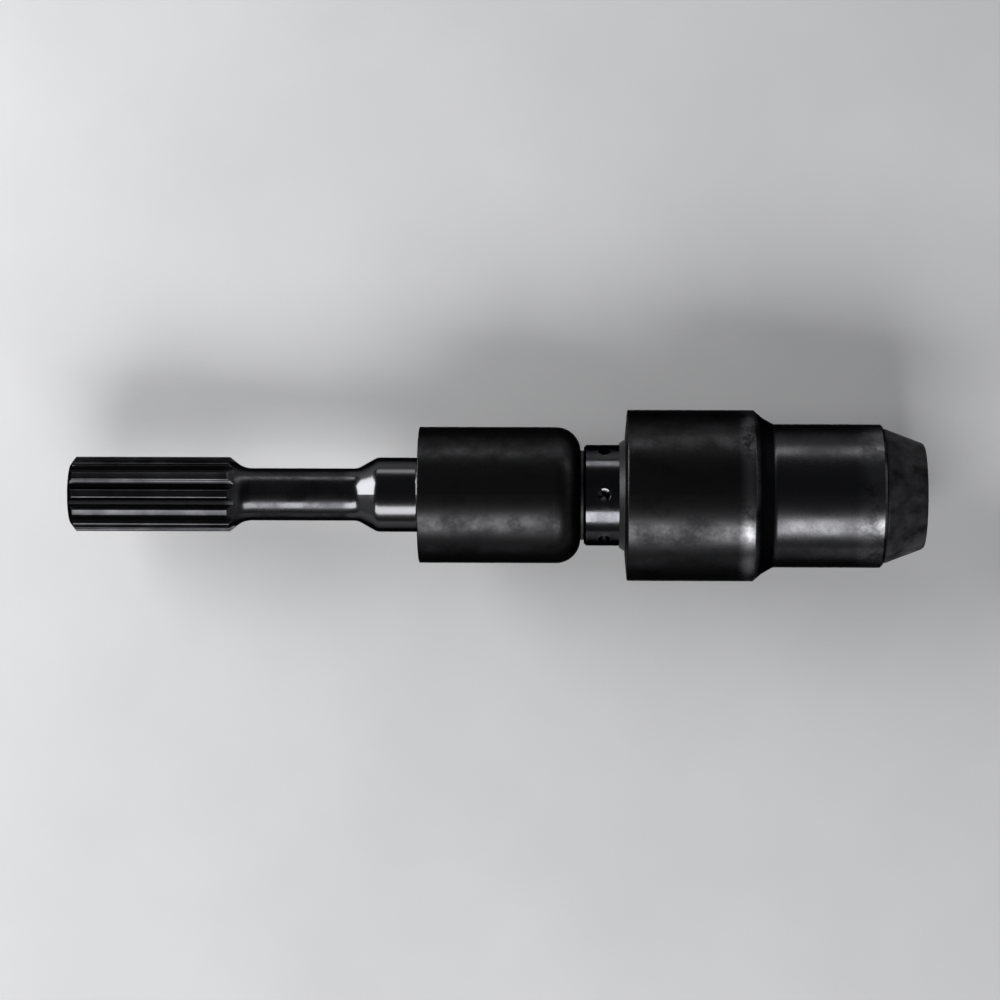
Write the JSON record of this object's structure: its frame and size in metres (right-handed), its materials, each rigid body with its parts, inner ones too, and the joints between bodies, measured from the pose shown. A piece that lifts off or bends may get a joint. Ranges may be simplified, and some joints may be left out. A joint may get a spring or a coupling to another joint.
{
  "type": "rotary hammer shank adapter chuck",
  "caption": "Rotary hammer adapter: splined drive shank behind, spring-loaded release sleeve and ball-lock socket for slotted shanks in front, rubber dust cap at the nose.",
  "frame": {"origin": "centre of the impact face at the back end of the shank", "axes": "+X along the axis from the shank to the nose, +Z through a ball of the lock, +Y through a drive rib"},
  "size_m": [0.2181, 0.0436, 0.0436],
  "materials": {
    "blackened_forging": "satin",
    "blackened_holder": "gloss",
    "blackened_sleeve": "satin",
    "hardened_steel": "satin",
    "phosphated_steel": "matte",
    "zinc_steel": "satin",
    "spring_steel": "satin",
    "ball_steel": "polished",
    "bearing_bronze": "satin",
    "nitrile_rubber": "satin",
    "cap_rubber": "matte"
  },
  "bodies": {
    "spindle": {"spline_shank": "blackened_forging", "anvil": "hardened_steel", "body_oring": "nitrile_rubber", "lock_washer": "zinc_steel", "tool_holder": "blackened_holder", "spring_seat": "zinc_steel", "release_spring": "spring_steel", "stop_washer": "zinc_steel", "snap_ring": "spring_steel", "dust_cap": "cap_rubber"},
    "carrier": {"thrust_washer": "zinc_steel"},
    "sleeve": {"grip_shell": "blackened_sleeve", "inner_sleeve": "phosphated_steel", "locking_ring": "hardened_steel", "rear_guide_ring": "bearing_bronze", "rear_wiper": "nitrile_rubber", "sleeve_clip": "spring_steel"},
    "plate": {"ball_plate": "phosphated_steel"},
    "ball_top": {"ball_top": "ball_steel"},
    "ball_bottom": {"ball_bottom": "ball_steel"}
  },
  "joints": [
    {"name": "sleeve_slide", "type": "slide", "parent": "spindle", "child": "carrier", "axis": [-1, 0, 0], "range_m": [0, 0.007], "stiffness_N_per_m": 3000, "springref_m": -0.008, "deforming": ["release_spring"]},
    {"name": "sleeve_spin", "type": "hinge", "parent": "carrier", "child": "sleeve", "pos_m": [0.165, 0, 0], "axis": [1, 0, 0], "continuous": true},
    {"name": "plate_slide", "type": "slide", "parent": "carrier", "child": "plate", "axis": [-1, 0, 0], "range_m": [0, 0.004], "stiffness_N_per_m": 3000, "springref_m": -0.008},
    {"name": "ball_top_out", "type": "slide", "parent": "spindle", "child": "ball_top", "axis": [0, 0, 1], "range_m": [0, 0.00175]},
    {"name": "ball_bottom_out", "type": "slide", "parent": "spindle", "child": "ball_bottom", "axis": [0, 0, -1], "range_m": [0, 0.00175]}
  ],
  "couplings": [
    {"joint": "ball_top_out", "follows": "sleeve_slide", "ratio": 0.25},
    {"joint": "ball_bottom_out", "follows": "sleeve_slide", "ratio": 0.25}
  ]
}
